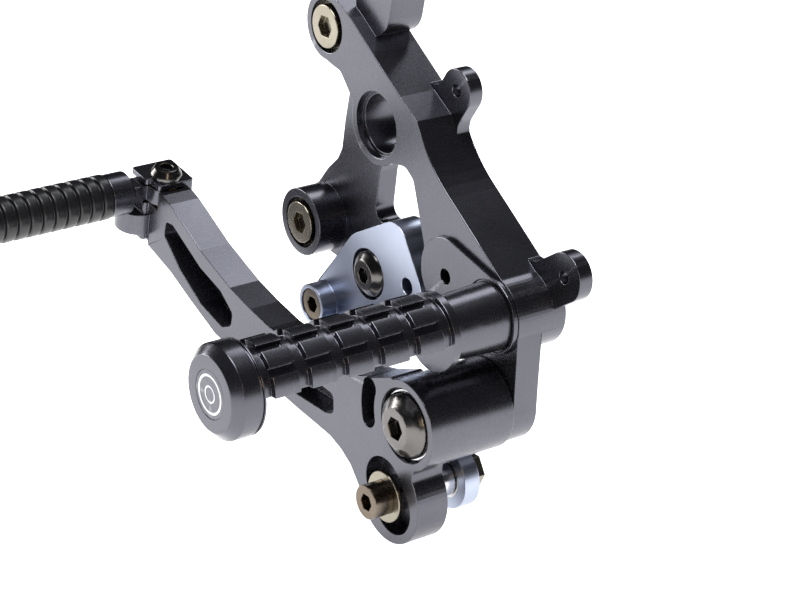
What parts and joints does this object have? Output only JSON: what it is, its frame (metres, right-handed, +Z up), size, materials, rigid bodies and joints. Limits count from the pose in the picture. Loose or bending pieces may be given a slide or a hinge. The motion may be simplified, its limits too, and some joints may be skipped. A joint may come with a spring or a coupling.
{
  "type": "motorcycle left rearset with foot peg",
  "caption": "Left motorcycle rearset: a grooved foot peg on a milled bracket, with a pivoting shift lever, a folding toe peg, a link and a rocker for the shift rod.",
  "frame": {"origin": "where the foot peg's axis meets the outer face of its seat plate", "axes": "-Y points out along the foot peg, away from the motorcycle; -X points forward along the shift lever; +Z is up"},
  "size_m": [0.234, 0.1608, 0.2175],
  "materials": {
    "black_anodised": "satin black anodised",
    "blue_anodised": "satin pale blue anodised",
    "zinc_steel": "zinc plated",
    "dark_steel": "dark oxide",
    "bronze_steel": "bronze coated",
    "bearing_steel": "ground",
    "badge": "plain",
    "friction_bronze": "plain",
    "seal_rubber": "matt",
    "toe_rubber": "glossy"
  },
  "bodies": {
    "bracket": {"main_bracket": "black_anodised", "peg_seat_plate": "black_anodised", "foot_peg": "black_anodised", "peg_mounting_bolt": "zinc_steel", "peg_end_cap": "black_anodised", "end_cap_screw": "dark_steel", "end_cap_badge": "badge", "frame_bolts": "zinc_steel", "frame_bolt_seats": "zinc_steel", "pivot_sleeve": "bearing_steel", "pivot_bolt": "dark_steel", "pivot_washer": "bearing_steel", "rocker_sleeve": "bearing_steel", "rocker_pivot_bolt": "dark_steel"},
    "lever": {"shift_lever": "black_anodised", "hub_bearings": "bearing_steel", "hub_spacer": "bearing_steel", "hub_seals": "seal_rubber", "tail_bolt": "bronze_steel", "tail_washer": "zinc_steel", "tail_spacer": "bearing_steel", "tail_nut": "zinc_steel", "toe_pivot_bolt": "dark_steel", "toe_friction_washers": "friction_bronze"},
    "toe_peg": {"toe_peg_core": "black_anodised", "toe_peg_rubber": "toe_rubber", "toe_peg_end_screw": "dark_steel", "toe_peg_end_washer": "bearing_steel"},
    "link": {"shift_link": "blue_anodised", "link_bearings": "bearing_steel"},
    "rocker": {"shift_rocker": "blue_anodised", "rocker_bearings": "bearing_steel", "link_pin": "zinc_steel", "link_pin_nut": "zinc_steel", "rod_end_bolt": "bronze_steel"}
  },
  "joints": [
    {"name": "shift_lever_pivot", "type": "hinge", "parent": "bracket", "child": "lever", "pos_m": [-0.0036, -0.015, -0.036], "axis": [0, 1, 0], "range_deg": [-8, 8]},
    {"name": "toe_peg_fold", "type": "hinge", "parent": "lever", "child": "toe_peg", "pos_m": [-0.1836, -0.0285, 0.0002], "axis": [0.2079, 0, 0.9781], "range_deg": [0, 45]},
    {"name": "shift_link_pivot", "type": "hinge", "parent": "lever", "child": "link", "pos_m": [-0.014, -0.0055, -0.0685], "axis": [0, 1, 0], "range_deg": [-8, 8]},
    {"name": "rocker_pivot", "type": "hinge", "parent": "bracket", "child": "rocker", "pos_m": [-0.08, 0.008, -0.009], "axis": [0, 1, 0], "range_deg": [-8, 8]}
  ],
  "couplings": [
    {"joint": "shift_link_pivot", "follows": "shift_lever_pivot", "ratio": -1},
    {"joint": "rocker_pivot", "follows": "shift_lever_pivot", "ratio": 1}
  ]
}
